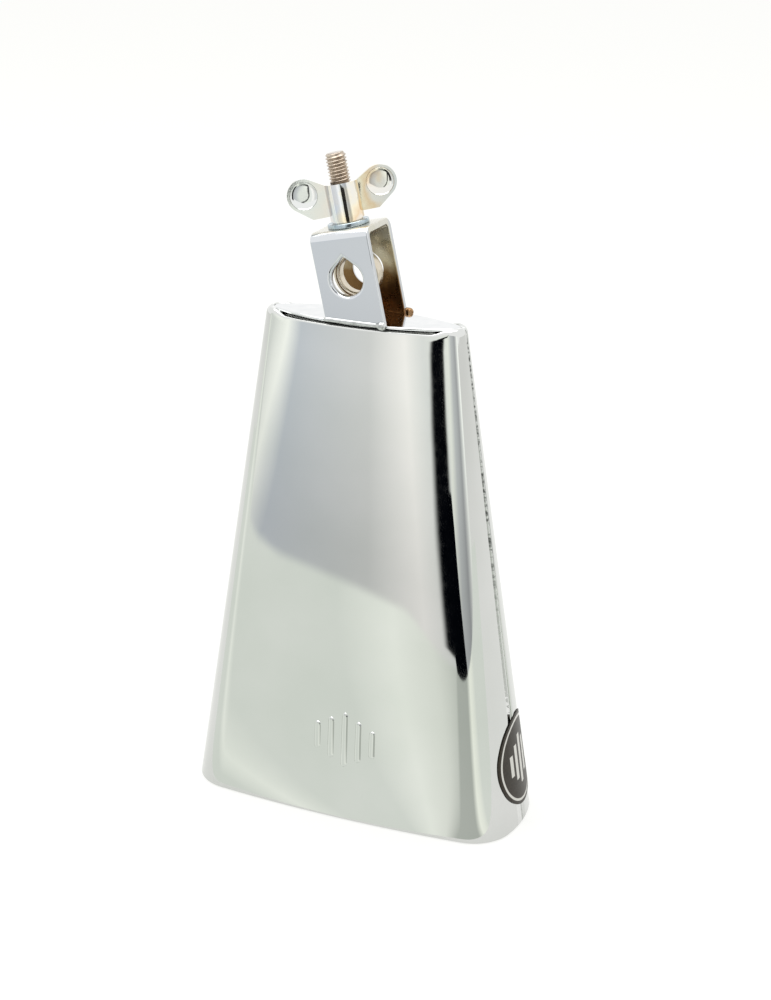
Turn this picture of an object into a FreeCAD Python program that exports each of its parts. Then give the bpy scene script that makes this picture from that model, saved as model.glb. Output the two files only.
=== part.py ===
import FreeCAD
import Part
import math
import os

# Mounted cowbell, 8 inch, chrome-plated steel. Millimetres.
# Own frame: origin at the centre of the mouth's rim plane, +Z up to the thread's tip,
# +X along the mouth's long side, +Y to the rear.

Vector = FreeCAD.Vector

# bell body, outside sizes
bell_height = 203.0
mouth_width = 142.4
mouth_depth = 57.8
mouth_corner = 18.0
mouth_front_rise = 2.5        # how far the front wall bows out, mouth end
mouth_side_rise = 1.1
top_width = 82.8
top_depth = 24.2
top_corner = 7.0
top_front_rise = 4.6
top_side_rise = 1.2
sheet = 1.5                   # wall of the two pressed half shells
seam_gap = 1.2                # space between the halves, filled by the seam weld
seam_proud = 0.3

# top plate, a pointed oval lying on the shells' top rim
plate_thickness = 1.6
plate_end_setback = 2.9       # from the side wall's outside to the plate's end
plate_edge_setback = 0.8      # from the front wall's outside to the plate's edge
plate_corner = 3.0
plate_side_rise = 0.3
plate_flank = 3.9             # half the plate's blunt end
plate_edge_round = 0.5
braze_thickness = 0.3
braze_width = 0.9
braze_setback = 0.25

# mount bracket, a bent strap that leans to the left
lean = 12.3                   # degrees
bracket_width = 24.0
foot_setback = 0.0            # from the plate's edge to the strap's outer face
bracket_height = 35.3         # along the leaning axis, above the plate
strap = 2.5
bend_outside = 4.0
bracket_shift = 0.5           # along X, where the leaning axis meets the plate
weld_radius = 1.75
weld_rise = 0.2               # bead's centre above the plate
front_weld_overrun = -1.0     # how far each bead's centre line runs past the strap's edge
rear_weld_overrun = 0.9

plate_width = top_width - 2 * plate_end_setback
plate_depth = top_depth - 2 * plate_edge_setback
bracket_depth = plate_depth - 2 * foot_setback

# rod hole through both legs: a circle with a pointed top
rod_hole_radius = 6.4
rod_hole_height = 16.7        # circle's centre above the plate, along the axis
rod_hole_point = 8.7          # point above the circle's centre

# eye bolt, M8
thread_radius = 4.0
thread_chamfer = 0.8
thread_show = 11.2            # thread standing above the wing nut
eye_clearance = 0.2           # eye's hole over the rod hole
eye_bar = 3.0
eye_thickness = 5.4
eye_round = 1.3
slide_clearance = 0.1         # thread in the strap's hole and in the nut

# washer
washer_radius = 8.0
washer_thickness = 1.8
washer_clearance = 0.3
washer_round = 0.4

# wing nut
hub_radius = 6.5
hub_height = 14.7
hub_foot = 0.8                # narrow foot that turns on the washer
hub_foot_inset = 0.6
wing_thickness = 3.0
wing_turn = 26.0              # degrees about the bolt at rest
ear_reach = 14.6              # ear's centre from the bolt's axis
ear_rise = 5.5                # ear's centre above the hub's middle
ear_radius = 6.3
ear_dish_radius = 5.3
ear_dish_depth = 0.8
wing_foot_reach = 12.7        # outer end of the wing's lower edge
wing_foot_drop = 4.5          # lower edge below the hub's middle
wing_top_inset = 0.7          # wing's upper edge meets the hub this far in from its wall
wing_top_drop = 0.3           # and this far below its top

# round badge on the right wall
badge_radius = 19.0
badge_height = 26.5
badge_centre_y = 4.5
badge_cover = 0.2             # foil over the seam weld's proud face


def oval(width, depth, corner, front_rise, side_rise, inset=0.0):
    """Centres and radii of the arcs of a bowed, round-cornered oval."""
    a = width / 2
    b = depth / 2
    w = a - corner
    h = b - corner
    front_r = (w * w + front_rise ** 2) / (2 * front_rise)
    side_r = (h * h + side_rise ** 2) / (2 * side_rise)
    front_c = Vector(0, front_r - b, 0)
    side_c = Vector(a - side_r, 0, 0)
    # the corner's centre lies at radius - corner from both of the others
    span = front_c.sub(side_c)
    d = span.Length
    along = ((side_r - corner) ** 2 - (front_r - corner) ** 2 + d * d) / (2 * d)
    across = math.sqrt((side_r - corner) ** 2 - along ** 2)
    unit = span.multiply(1 / d)
    foot = side_c.add(Vector(unit).multiply(along))
    corner_c = foot.add(Vector(unit.y, -unit.x, 0).multiply(across))
    if corner_c.x < 0:
        corner_c = foot.sub(Vector(unit.y, -unit.x, 0).multiply(across))
    return {"front": (front_c, front_r - inset), "side": (side_c, side_r - inset),
            "corner": (corner_c, corner - inset)}


def on_circle(centre, radius, angle):
    return Vector(centre.x + radius * math.cos(angle), centre.y + radius * math.sin(angle), 0)


def oval_wire(arcs, z):
    """Closed wire of eight arcs, from the middle of the right side through the front."""
    front_c, front_r = arcs["front"]
    side_c, side_r = arcs["side"]
    corner_c, corner_r = arcs["corner"]
    side_angle = math.atan2(corner_c.y - side_c.y, corner_c.x - side_c.x)
    front_angle = math.atan2(corner_c.y - front_c.y, corner_c.x - front_c.x)

    def arc(centre, radius, start, end):
        return [on_circle(centre, radius, start + (end - start) * k / 2) for k in range(3)]

    def mirrored(arcs_of_half, sx, sy):
        return [[Vector(sx * p.x, sy * p.y, 0) for p in points[::-1]] for points in arcs_of_half[::-1]]

    front = [arc(front_c, front_r, front_angle, -math.pi - front_angle)]
    side = [arc(side_c, side_r, 0, side_angle)]
    corner = [arc(corner_c, corner_r, side_angle, front_angle)]
    lower = side + corner + front + mirrored(side + corner, -1, 1)
    upper = mirrored(lower, 1, -1)
    edges = [Part.Arc(*points).toShape() for points in lower + upper]
    wire = Part.Wire(edges)
    wire.translate(Vector(0, 0, z))
    return wire


def mouth_section(inset=0.0):
    return oval(mouth_width, mouth_depth, mouth_corner, mouth_front_rise, mouth_side_rise, inset)


def top_section(inset=0.0):
    return oval(top_width, top_depth, top_corner, top_front_rise, top_side_rise, inset)


def plate_section(inset=0.0):
    """The top plate's outline, which the shells' inside also follows at the top."""
    front_rise = plate_depth / 2 - plate_flank
    return oval(plate_width, plate_depth, plate_corner, front_rise, plate_side_rise, inset)


def body_solid(inset=0.0):
    return Part.makeLoft([oval_wire(mouth_section(inset), 0), oval_wire(top_section(inset), bell_height)],
                         True, True)


def cavity_solid():
    inside_top = plate_section(braze_setback + braze_width)
    return Part.makeLoft([oval_wire(mouth_section(sheet), 0), oval_wire(inside_top, bell_height)],
                         True, True)


def shell_halves():
    """Front and rear pressed halves, with the weld's space between them."""
    wall = body_solid().cut(cavity_solid())
    reach = mouth_width
    front_room = Part.makeBox(2 * reach, reach, 2 * bell_height, Vector(-reach, -reach - seam_gap / 2, -1))
    rear_room = Part.makeBox(2 * reach, reach, 2 * bell_height, Vector(-reach, seam_gap / 2, -1))
    return wall.common(front_room), wall.common(rear_room)


def seam_welds():
    """Left and right upright beads that fill the space between the halves."""
    wall = body_solid(-seam_proud).cut(cavity_solid())
    strip = Part.makeBox(mouth_width, seam_gap, bell_height, Vector(0, -seam_gap / 2, 0))
    right = wall.common(strip)
    left = wall.common(strip.mirror(Vector(0, 0, 0), Vector(1, 0, 0)))
    return left, right


def plate_braze():
    outer = Part.Face(oval_wire(plate_section(braze_setback), bell_height))
    inner = Part.Face(oval_wire(plate_section(braze_setback + braze_width), bell_height))
    return outer.cut(inner).extrude(Vector(0, 0, braze_thickness))


plate_bottom = bell_height + braze_thickness
plate_top = plate_bottom + plate_thickness


def top_plate():
    face = Part.Face(oval_wire(plate_section(), plate_bottom))
    plate = face.extrude(Vector(0, 0, plate_thickness))
    rim = [e for e in plate.Edges if min(v.Z for v in e.Vertexes) > plate_top - 0.01]
    return plate.makeFillet(plate_edge_round, rim)


def leaned(shape):
    """Moves a shape from the bolt's upright frame to its leaning place on the plate."""
    placed = shape.copy()
    placed.Placement = FreeCAD.Placement(Vector(bracket_shift, 0, plate_top),
                                         FreeCAD.Rotation(Vector(0, 1, 0), -lean))
    return placed


def box_at(x, y, z, sx, sy, sz):
    """Box centred in x and y on (x, y), standing on z."""
    return Part.makeBox(sx, sy, sz, Vector(x - sx / 2, y - sy / 2, z))


def rod_hole():
    """Pointed-top hole through both legs, along Y, in the bolt's upright frame."""
    half = math.acos(rod_hole_radius / rod_hole_point)
    centre = Vector(0, 0, rod_hole_height)
    angle = math.pi / 2 - half

    def rim(a):
        return centre.add(Vector(rod_hole_radius * math.cos(a), 0, rod_hole_radius * math.sin(a)))

    point = centre.add(Vector(0, 0, rod_hole_point))
    right = rim(angle)
    left = rim(math.pi - angle)
    wire = Part.Wire([Part.Arc(left, rim(-math.pi / 2), right).toShape(),
                      Part.makeLine(right, point), Part.makeLine(point, left)])
    face = Part.Face(wire)
    face.translate(Vector(0, -bracket_depth, 0))
    return face.extrude(Vector(0, 2 * bracket_depth, 0))


def mount_bracket():
    root = bracket_width * math.tan(math.radians(lean))   # length that the slanted cut takes off
    height = bracket_height + root
    outer = box_at(0, 0, -root, bracket_width, bracket_depth, height)
    inner = box_at(0, 0, -root, bracket_width, bracket_depth - 2 * strap, height - strap)

    def top_bends(shape, top):
        return [e for e in shape.Edges
                if all(abs(v.Z - top) < 0.01 for v in e.Vertexes)
                and abs(e.Vertexes[0].Y - e.Vertexes[-1].Y) < 0.01]

    outer = outer.makeFillet(bend_outside, top_bends(outer, bracket_height))
    inner = inner.makeFillet(bend_outside - strap, top_bends(inner, bracket_height - strap))
    bolt_hole = Part.makeCylinder(thread_radius + slide_clearance, 2 * strap,
                                  Vector(0, 0, bracket_height - 1.5 * strap))
    strip = leaned(outer.cut(inner).cut(rod_hole()).cut(bolt_hole))
    above_plate = box_at(0, 0, plate_top, 4 * bracket_height, 2 * bracket_depth, 2 * bracket_height)
    return strip.common(above_plate)


def bracket_weld(side, overrun, *neighbours):
    """Round-ended bead along a leg's outer foot; side is -1 for the front, 1 for the rear."""
    y = side * bracket_depth / 2
    z = plate_top + weld_rise
    half = bracket_width / 2 / math.cos(math.radians(lean)) + overrun
    start = bracket_shift - half
    bead = Part.makeCylinder(weld_radius, 2 * half, Vector(start, y, z), Vector(1, 0, 0))
    for x in (start, start + 2 * half):
        bead = bead.fuse(Part.makeSphere(weld_radius, Vector(x, y, z)))
    bead = bead.removeSplitter()
    for other in neighbours:
        bead = bead.cut(other)
    return largest_solid(bead)


def largest_solid(shape):
    return max(shape.Solids, key=lambda s: s.Volume)


washer_foot = bracket_height
nut_foot = washer_foot + washer_thickness
thread_tip = nut_foot + hub_height + thread_show


def eye_bolt():
    inner = rod_hole_radius + eye_clearance
    outer = inner + eye_bar
    centre = Vector(0, -eye_thickness / 2, rod_hole_height)
    ring = Part.makeCylinder(outer, eye_thickness, centre, Vector(0, 1, 0))
    hole = Part.makeCylinder(inner, eye_thickness, centre, Vector(0, 1, 0))
    ring = ring.cut(hole)
    rims = [e for e in ring.Edges if isinstance(e.Curve, Part.Circle) and e.isClosed()]
    ring = ring.makeFillet(eye_round, rims)
    foot = rod_hole_height + inner + eye_bar / 2
    shank = Part.makeCylinder(thread_radius, thread_tip - foot, Vector(0, 0, foot))
    tip = [e for e in shank.Edges if min(v.Z for v in e.Vertexes) > thread_tip - 0.01]
    shank = shank.makeChamfer(thread_chamfer, tip)
    return leaned(ring.fuse(shank))


def washer():
    disc = Part.makeCylinder(washer_radius, washer_thickness, Vector(0, 0, washer_foot))
    hole = Part.makeCylinder(thread_radius + washer_clearance, washer_thickness, Vector(0, 0, washer_foot))
    rims = [e for e in disc.Edges if isinstance(e.Curve, Part.Circle)]
    return leaned(disc.makeFillet(washer_round, rims).cut(hole))


def wing(side, middle):
    """One flat wing with a dished ear, in the upright frame before the nut's turn."""
    ear = Vector(side * ear_reach, 0, middle + ear_rise)
    foot = Vector(side * wing_foot_reach, 0, middle - wing_foot_drop)
    top = middle + hub_height / 2 - wing_top_drop
    root_low = Vector(0, 0, middle - wing_foot_drop)
    root_high = Vector(side * (hub_radius - wing_top_inset), 0, top)
    root_top = Vector(0, 0, top)

    def tangent_point(source, outward):
        # where a line from source touches the ear, on its outer or its inner side
        line = ear.sub(source)
        turn = math.acos(ear_radius / line.Length)
        back = math.atan2(-line.z, -line.x)
        angle = back + outward * side * turn
        return ear.add(Vector(ear_radius * math.cos(angle), 0, ear_radius * math.sin(angle)))

    low = tangent_point(foot, 1)
    high = tangent_point(root_high, -1)
    beyond = ear.add(Vector(side * ear_radius * math.cos(math.pi / 4), 0, ear_radius * math.sin(math.pi / 4)))
    wire = Part.Wire([Part.makeLine(root_low, foot), Part.makeLine(foot, low),
                      Part.Arc(low, beyond, high).toShape(), Part.makeLine(high, root_high),
                      Part.makeLine(root_high, root_top), Part.makeLine(root_top, root_low)])
    face = Part.Face(wire)
    face.translate(Vector(0, -wing_thickness / 2, 0))
    plate = face.extrude(Vector(0, wing_thickness, 0))
    dish = (ear_dish_radius ** 2 + ear_dish_depth ** 2) / (2 * ear_dish_depth)
    for face_side in (-1, 1):
        offset = face_side * (wing_thickness / 2 - ear_dish_depth + dish)
        plate = plate.cut(Part.makeSphere(dish, ear.add(Vector(0, offset, 0))))
    return plate


def wing_nut():
    middle = nut_foot + hub_height / 2
    hub = Part.makeCylinder(hub_radius, hub_height - hub_foot, Vector(0, 0, nut_foot + hub_foot))
    rims = [e for e in hub.Edges if isinstance(e.Curve, Part.Circle)]
    hub = hub.makeFillet(washer_round, rims)
    hub = hub.fuse(Part.makeCylinder(hub_radius - hub_foot_inset, hub_foot + hub_radius / 2,
                                     Vector(0, 0, nut_foot)))
    for side in (-1, 1):
        hub = hub.fuse(wing(side, middle))
    bore = Part.makeCylinder(thread_radius + slide_clearance, 2 * hub_height, Vector(0, 0, nut_foot - 1))
    nut = hub.cut(bore)
    nut.rotate(Vector(0, 0, 0), Vector(0, 0, 1), wing_turn)
    return leaned_after_turn(nut)


def leaned_after_turn(shape):
    """As leaned, for a shape that already carries its own placement."""
    placed = shape.copy()
    move = FreeCAD.Placement(Vector(bracket_shift, 0, plate_top), FreeCAD.Rotation(Vector(0, 1, 0), -lean))
    placed.Placement = move.multiply(placed.Placement)
    return placed


def side_badge(right_weld):
    """Thin round foil that follows the right wall and lies over the seam."""
    skin = body_solid(-seam_proud - badge_cover).cut(body_solid())
    punch = Part.makeCylinder(badge_radius, mouth_width, Vector(0, badge_centre_y, badge_height),
                              Vector(1, 0, 0))
    return largest_solid(skin.common(punch).cut(right_weld))


def main():
    os.makedirs("parts", exist_ok=True)
    front_shell, rear_shell = shell_halves()
    left_weld, right_weld = seam_welds()
    plate = top_plate()
    bracket = mount_bracket()
    braze = plate_braze()
    nodes = {
        "front_shell": front_shell,
        "rear_shell": rear_shell,
        "left_seam_weld": left_weld,
        "right_seam_weld": right_weld,
        "plate_braze": braze,
        "top_plate": plate,
        "mount_bracket": bracket,
        "front_bracket_weld": bracket_weld(-1, front_weld_overrun, bracket, plate, braze, front_shell),
        "rear_bracket_weld": bracket_weld(1, rear_weld_overrun, bracket, plate, braze, rear_shell),
        "eye_bolt": eye_bolt(),
        "washer": washer(),
        "wing_nut": wing_nut(),
        "side_badge": side_badge(right_weld),
    }
    for name, shape in nodes.items():
        solids = shape.Solids
        print(name, "solids", len(solids), "volume", round(shape.Volume, 1), "valid", shape.isValid())
        shape.exportStep("parts/" + name + ".step")


main()
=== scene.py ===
import math

import bmesh
import bpy
from mathutils import Matrix, Vector
from mathutils.bvhtree import BVHTree


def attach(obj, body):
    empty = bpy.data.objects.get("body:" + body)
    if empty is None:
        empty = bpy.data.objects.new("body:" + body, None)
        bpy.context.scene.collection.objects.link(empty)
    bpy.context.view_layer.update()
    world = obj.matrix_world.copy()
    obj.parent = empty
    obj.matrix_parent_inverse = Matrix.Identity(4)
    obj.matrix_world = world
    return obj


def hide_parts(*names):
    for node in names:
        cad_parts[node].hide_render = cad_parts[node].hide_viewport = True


# Mounted cowbell: chromed steel bell, strap bracket, eye bolt with washer and wing nut.
# Pieces are modelled in millimetres, then put in place and scaled to metres.

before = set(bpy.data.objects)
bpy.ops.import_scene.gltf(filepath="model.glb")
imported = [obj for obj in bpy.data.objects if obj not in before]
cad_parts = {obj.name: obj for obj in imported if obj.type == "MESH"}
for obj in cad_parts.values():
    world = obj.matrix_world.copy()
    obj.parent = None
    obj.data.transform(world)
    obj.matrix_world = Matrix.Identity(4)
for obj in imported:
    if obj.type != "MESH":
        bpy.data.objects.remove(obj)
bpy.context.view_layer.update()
mm = 0.001
weld = 0.002  # points nearer than this are one


def linear(colour):
    values = [int(colour[i:i + 2], 16) / 255 for i in (1, 3, 5)]
    return [v / 12.92 if v <= 0.04045 else ((v + 0.055) / 1.055) ** 2.4 for v in values] + [1.0]


def addNode(tree, kind, settings=None, links=None):
    node = tree.nodes.new("ShaderNode" + kind)
    for key, value in (settings or {}).items():
        if key == "stops":
            marks = node.color_ramp.elements
            marks.remove(marks[1])
            for i, (place, colour) in enumerate(value):
                mark = marks[0] if i == 0 else marks.new(place)
                mark.position = place
                mark.color = linear(colour) if isinstance(colour, str) else [colour] * 3 + [1.0]
        elif key == "blending":
            node.color_ramp.interpolation = value
        elif isinstance(key, str) and hasattr(node, key):
            setattr(node, key, value)
        else:
            node.inputs[key].default_value = value
    join(tree, node, links or {})
    return node


def join(tree, node, links):
    # a source is a node, which gives its first output, or one of a node's outputs
    for key, source in links.items():
        first = source.outputs[0] if isinstance(source, bpy.types.Node) else source
        tree.links.new(first, node.inputs[key])


def newMaterial(name, **shader):
    material = bpy.data.materials.new(name)
    material.use_nodes = True
    tree = material.node_tree
    surface = tree.nodes["Principled BSDF"]
    for key, value in shader.items():
        surface.inputs[key.replace("_", " ")].default_value = value
    place = addNode(tree, "TexCoord")
    return material, tree, surface, place.outputs["Object"]


def linkMesh(bm, name, material=None):
    mesh = bpy.data.meshes.new(name)
    bm.to_mesh(mesh)
    bm.free()
    if material:
        mesh.materials.append(material)
    thing = bpy.data.objects.new(name, mesh)
    bpy.context.scene.collection.objects.link(thing)
    return thing


def vertsOf(made):
    return [g for g in made["geom"] if isinstance(g, bmesh.types.BMVert)]


def faceOut(bm):
    bmesh.ops.recalc_face_normals(bm, faces=bm.faces)


def fillHoles(bm):
    bmesh.ops.holes_fill(bm, edges=[e for e in bm.edges if e.is_boundary], sides=0)


def moveMesh(bm, vec):
    bmesh.ops.translate(bm, vec=vec, verts=bm.verts)


def turnMesh(bm, degrees, axis):
    turn = Matrix.Rotation(math.radians(degrees), 3, axis)
    bmesh.ops.rotate(bm, cent=(0, 0, 0), matrix=turn, verts=bm.verts)


def scaleMesh(bm, vec):
    bmesh.ops.scale(bm, vec=vec, verts=bm.verts)


def mergeNear(bm, dist):
    bmesh.ops.remove_doubles(bm, verts=bm.verts, dist=dist)


def cylinder(radius, depth, segments):
    bm = bmesh.new()
    bmesh.ops.create_cone(bm, cap_ends=True, segments=segments, radius1=radius, radius2=radius, depth=depth)
    return bm


def extrudeBy(bm, faces, vec):
    # gives flat faces a thickness
    made = bmesh.ops.extrude_face_region(bm, geom=faces, use_keep_orig=True)
    bmesh.ops.translate(bm, vec=vec, verts=vertsOf(made))
    faceOut(bm)


def cutLevel(bm, height, up=1, **cleared):
    bmesh.ops.bisect_plane(bm, geom=list(bm.verts) + list(bm.edges) + list(bm.faces), dist=0.0001,
                           plane_co=(0, 0, height), plane_no=(0, 0, up), **cleared)


def subdivideTall(bm, length):
    tall = [e for e in bm.edges if abs(e.verts[0].co.z - e.verts[1].co.z) > length]
    bmesh.ops.subdivide_edges(bm, edges=tall, cuts=bell["layers"], use_grid_fill=True)


def smoothStep(low, high, value):
    t = min(1.0, max(0.0, (value - low) / (high - low)))
    return t * t * (3 - 2 * t)


def rowEdges(bm, row, closed=False):
    pairs = list(zip(row, row[1:])) + ([(row[-1], row[0])] if closed else [])
    return [bm.edges.get(pair) for pair in pairs]


def bridgeRows(bm, rows, closed=False, ring=True):
    # joins each row of points to the next, and the last to the first
    following = rows[1:] + rows[:1] if ring else rows[1:]
    for row, other in zip(rows, following):
        bmesh.ops.bridge_loops(bm, edges=rowEdges(bm, row, closed) + rowEdges(bm, other, closed))


def makePiece(bm, name, body, material, replaced=(), place=None):
    # place is a matrix in millimetres; the finished mesh is in metres with its object at the origin
    if place is not None:
        bmesh.ops.transform(bm, matrix=place, verts=bm.verts)
    if bm.calc_volume(signed=True) < 0:
        bmesh.ops.reverse_faces(bm, faces=bm.faces)
    scaleMesh(bm, (mm, mm, mm))
    for face in bm.faces:
        face.smooth = True
    piece = linkMesh(bm, name, material)
    keepFlat = piece.modifiers.new("keepFlat", "WEIGHTED_NORMAL")  # large faces stay mirror flat
    keepFlat.weight = 100
    keepFlat.keep_sharp = True
    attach(piece, body)
    if replaced:
        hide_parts(*replaced)
    return piece


def combine(bm, cutters, how="DIFFERENCE"):
    # boolean of working meshes, given back as one new bmesh
    base = linkMesh(bm, "working")
    tools = [linkMesh(cutter, "working") for cutter in cutters]
    for tool in tools:
        step = base.modifiers.new("cut", "BOOLEAN")
        step.operation = how
        step.solver = "EXACT"
        step.object = tool
    mesh = bpy.data.meshes.new_from_object(base.evaluated_get(bpy.context.evaluated_depsgraph_get()))
    result = bmesh.new()
    result.from_mesh(mesh)
    for thing in [base] + tools:
        old = thing.data
        bpy.data.objects.remove(thing)
        bpy.data.meshes.remove(old)
    bpy.data.meshes.remove(mesh)
    mergeNear(result, weld)
    bmesh.ops.dissolve_degenerate(result, edges=result.edges, dist=weld)
    faceOut(result)
    return result


def bevel(bm, geom, offset, segments, affect="EDGES", **more):
    bmesh.ops.bevel(bm, geom=geom, offset=offset, offset_type="OFFSET", segments=segments, profile=0.5,
                    affect=affect, material=-1, **more)


def bevelEdges(bm, offset, angle, segments, chosen):
    sharp = [e for e in bm.edges if len(e.link_faces) == 2
             and e.calc_face_angle(0) > math.radians(angle) and chosen(e)]
    bevel(bm, sharp, offset, segments, clamp_overlap=True, loop_slide=True)


def lathe(bm, points, steps):
    # points are (radius, height) pairs of a closed section, turned about Z
    section = bm.faces.new([bm.verts.new((r, 0, h)) for r, h in points])
    edges = list(section.edges)
    bmesh.ops.delete(bm, geom=[section], context="FACES_ONLY")
    bmesh.ops.spin(bm, geom=edges, cent=(0, 0, 0), axis=(0, 0, 1), angle=2 * math.pi, steps=steps,
                   use_merge=True)
    faceOut(bm)


view = {"yaw": 23.0, "elevation": 21.35, "roll": 0.54, "distance": 752.8, "lens": 67.27, "sensor": 36,
        "aimHeight": 101.5, "aside": 8.53, "above": 25.76, "clip": (0.01, 50)}


def addCamera():
    yaw, elevation, roll = (math.radians(view[k]) for k in ("yaw", "elevation", "roll"))
    back = Vector((math.sin(yaw) * math.cos(elevation), -math.cos(yaw) * math.cos(elevation),
                   math.sin(elevation)))
    right = Vector((math.cos(yaw), math.sin(yaw), 0))
    up = back.cross(right)
    right, up = (math.cos(roll) * right + math.sin(roll) * up,
                 math.cos(roll) * up - math.sin(roll) * right)
    spot = (Vector((0, 0, view["aimHeight"])) + back * view["distance"] + right * view["aside"]
            + up * view["above"]) * mm
    data = bpy.data.cameras.new("camera")
    data.lens = view["lens"]
    data.sensor_width = view["sensor"]
    data.clip_start, data.clip_end = view["clip"]
    camera = bpy.data.objects.new("camera", data)
    bpy.context.scene.collection.objects.link(camera)
    turn = Matrix((right, up, back)).transposed().to_4x4()
    camera.matrix_world = Matrix.Translation(spot) @ turn
    bpy.context.scene.camera = camera
    bpy.context.scene.view_settings.view_transform = "Standard"
    print("camera placed")


studio = {"floorSize": 14.0, "floorDrop": 0.0003, "floorGlow": 0.80, "floorBase": 0.2,
          "floorColour": "#F4F4F1", "skyStrength": 1.25, "softboxPower": 20.0, "softboxSize": 1.6,
          "softboxPlace": (-0.2, -0.1, 1.5)}
# the dim room that the chrome mirrors, in metres: a grey wall with two bright strips, a black stand
# with a flared foot, and the far edge of the table that hides the wall's foot; below that edge, and on a
# flat card before the bell, a painted reflection of the room in the table's gloss
room = {"distance": 0.30, "halfWidth": 0.9, "height": 0.30, "brightness": 1.64,
        "wall": [(-0.45, "#CDD0CC"), (-0.37, "#F0F2EC"), (-0.30, "#BCC1C7"), (-0.08, "#CBCCCB"),
                 (0.0, "#EFEDEA"), (0.04, "#D6D8D6"), (0.09, "#E0E3DB"), (0.20, "#B6B9BA"),
                 (0.40, "#9C9EA0"), (0.75, "#F4F6F2")],
        "footShade": 0.77, "shadeFrom": 0.04, "shadeTo": 0.14,
        "edgeHeight": 0.020, "edgeRiseFrom": -0.235, "edgeCurve": 1.1, "edgeFall": (-0.03, 0.035),
        "standTone": "#020306", "standLeft": 0.0235, "standRight": 0.045, "standCurve": 1.03,
        "footTop": 0.10, "footFlare": 1.9, "tuckTop": 0.010, "tuck": 0.03, "softness": 0.004,
        # painted reflection of the room in the table's gloss: streak tones by slant from the bell's right
        # corner
        "streakFrom": (0.052, 0.0), "reflectionCardNear": 0.03, "reflectionCardHeight": 0.0003,
        "tableReflectionStreaks": [(-3.0, "#CCD0CA"), (-2.2, "#DEE1DA"), (-1.5, "#CCD0CA"), (-0.6, "#CCD0CA"),
                    (-0.32, "#DEE1DA"), (-0.15, "#D2D5CE"), (0.0, "#A6AAA4"), (0.5, "#A4A8A2"),
                    (0.7, "#E2E5DB"), (0.9, "#DCDFD6"), (1.2, "#CCD0CA")],
        # a small dark card by the wing nut: a painted reflection of the black stand's head
        "screenTone": "#060606", "screenSize": (0.005, 0.015), "screenTurn": 28.0,
        "screenPlace": (0.0055, -0.0265, 0.240)}


def addStudio():
    floor = bmesh.new()
    bmesh.ops.create_grid(floor, x_segments=8, y_segments=8, size=studio["floorSize"] / 2)
    moveMesh(floor, (0, 0, -studio["floorDrop"]))
    # lit acrylic table top: white, and almost without shadow
    acrylic = newMaterial("litAcrylicTable", Roughness=0.9, Specular_IOR_Level=0.0,
                          Base_Color=[studio["floorBase"]] * 3 + [1],
                          Emission_Color=linear(studio["floorColour"]),
                          Emission_Strength=studio["floorGlow"])[0]
    piece = linkMesh(floor, "floor", acrylic)

    world = bpy.data.worlds.new("studioWorld")
    world.use_nodes = True
    sky = world.node_tree.nodes["Background"]
    sky.inputs["Color"].default_value = [1, 1, 1, 1]
    sky.inputs["Strength"].default_value = studio["skyStrength"]
    bpy.context.scene.world = world

    box = bpy.data.lights.new("softbox", "AREA")
    box.shape = "SQUARE"
    box.size = studio["softboxSize"]
    box.energy = studio["softboxPower"]
    light = bpy.data.objects.new("softbox", box)
    light.location = studio["softboxPlace"]
    bpy.context.scene.collection.objects.link(light)

    # none of the cards is seen or throws a shadow; only the polished metal mirrors them
    across, high, away = room["halfWidth"], room["height"], room["distance"]
    addCard("frontCard", cardMaterial(), (across, high / 2), (-90, 0, 0), (0, -away, high / 2))
    # a flat card just above the table before the bell carries the painted reflection of the room in the
    # table's gloss
    deep = (away - room["reflectionCardNear"]) / 2
    addCard("paintedTableReflection", paintedTableReflectionMaterial(), (across, deep), (0, 0, 0),
            (0, deep - away, room["reflectionCardHeight"]))
    # a small dark card just before the wing nut, seen only in its chrome: a painted reflection of the black
    # stand's head
    dark = newMaterial("darkStandReflection", Base_Color=linear(room["screenTone"]), Roughness=0.9)[0]
    addCard("standReflectionScreen", dark, room["screenSize"], (90, 0, room["screenTurn"]), room["screenPlace"])
    print("studio lit")


def addCard(name, material, halfSize, turn, centre):
    card = bmesh.new()
    bmesh.ops.create_grid(card, x_segments=1, y_segments=1, size=1.0)
    scaleMesh(card, (*halfSize, 1))
    for angle, axis in zip(turn, "XYZ"):
        turnMesh(card, angle, axis)
    moveMesh(card, centre)
    piece = linkMesh(card, name, material)
    piece.visible_camera = False
    piece.visible_diffuse = False
    piece.visible_shadow = False


def roomMaterial(name):
    material = bpy.data.materials.new(name)
    material.use_nodes = True
    tree = material.node_tree
    tree.nodes.clear()
    place = addNode(tree, "TexCoord").outputs["Object"]
    return material, tree, addNode(tree, "SeparateXYZ", links={0: place}).outputs


def tonesAlong(tree, source, tones):
    # greys along a length; tones are (metres, colour) pairs
    first, last = tones[0][0], tones[-1][0]
    along = addNode(tree, "MapRange", {1: first, 2: last}, {0: source})
    stops = [((place - first) / (last - first), colour) for place, colour in tones]
    return addNode(tree, "ValToRGB", {"stops": stops}, {0: along})


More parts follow.
